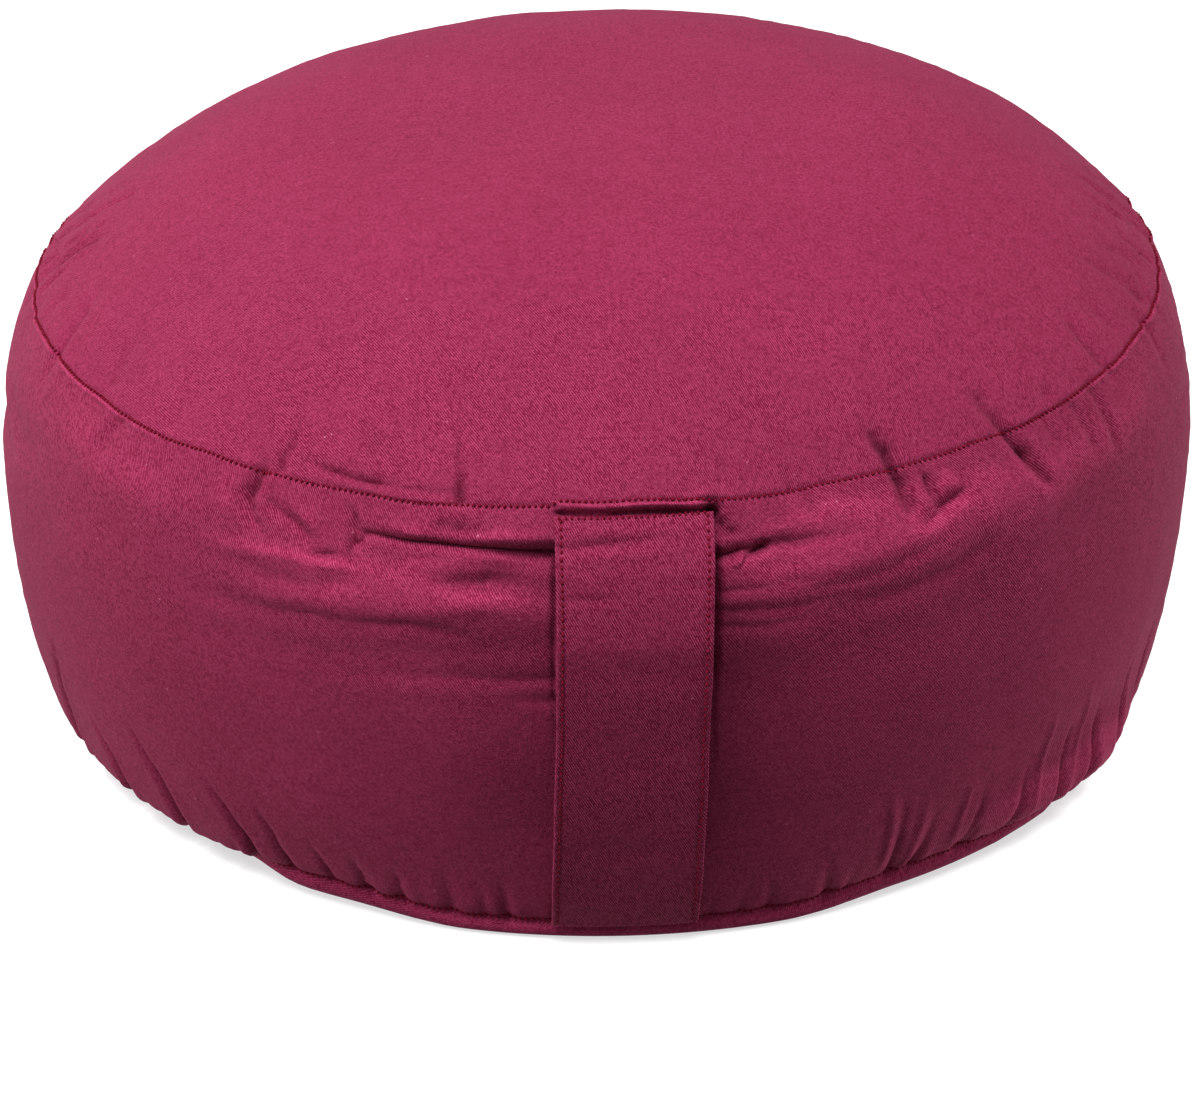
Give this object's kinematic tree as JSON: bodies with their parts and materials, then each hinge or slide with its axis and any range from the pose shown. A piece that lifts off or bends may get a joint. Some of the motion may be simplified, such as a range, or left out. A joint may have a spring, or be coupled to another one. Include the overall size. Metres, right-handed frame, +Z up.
{
  "type": "zafu meditation cushion",
  "caption": "Round filled floor cushion: domed top panel, bulging side band between two sewn seams, flat bottom panel, and a cloth carry strap sewn into both seams.",
  "frame": {"origin": "centre of the flat bottom, on the surface that the cushion stands on", "axes": "+Z up, through the crown; the carry strap is on the -Y side; +X is to the right of someone who faces the strap"},
  "size_m": [0.33, 0.3347, 0.1708],
  "materials": {
    "cushion_cloth": "matt cotton twill, burgundy raspberry",
    "strap_cloth": "matt cotton twill, burgundy raspberry, topstitched"
  },
  "bodies": {
    "root": {"cushion": "cushion_cloth", "carry_strap": "strap_cloth"}
  },
  "joints": []
}
